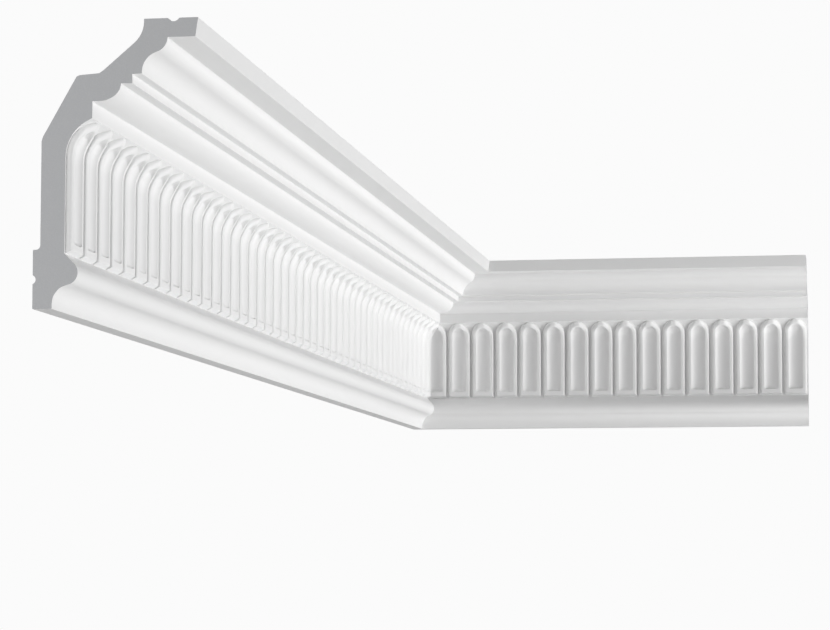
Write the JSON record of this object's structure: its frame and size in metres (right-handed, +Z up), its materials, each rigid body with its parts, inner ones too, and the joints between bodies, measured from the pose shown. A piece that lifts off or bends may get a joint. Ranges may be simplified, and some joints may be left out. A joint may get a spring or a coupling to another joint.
{
  "type": "fluted cornice moulding at an inside corner",
  "caption": "White fluted cornice moulding that turns an inside corner, a long length mitred to a shorter length, with flat backs that glue to wall and ceiling.",
  "frame": {"origin": "on the wall land at the back of the long length, halfway along its run and 26.7 mm above the lower edge", "axes": "+X out from the long wall into the room and along the end wall, +Y along the long length towards the inside corner, +Z up to the ceiling"},
  "size_m": [0.415, 1.176, 0.1655],
  "materials": {
    "long_wall_length": "moulded high-density polyurethane with a satin white primer",
    "end_wall_length": "moulded high-density polyurethane with a satin white primer"
  },
  "bodies": {
    "root": {"long_wall_length": "long_wall_length", "end_wall_length": "end_wall_length"}
  },
  "joints": []
}
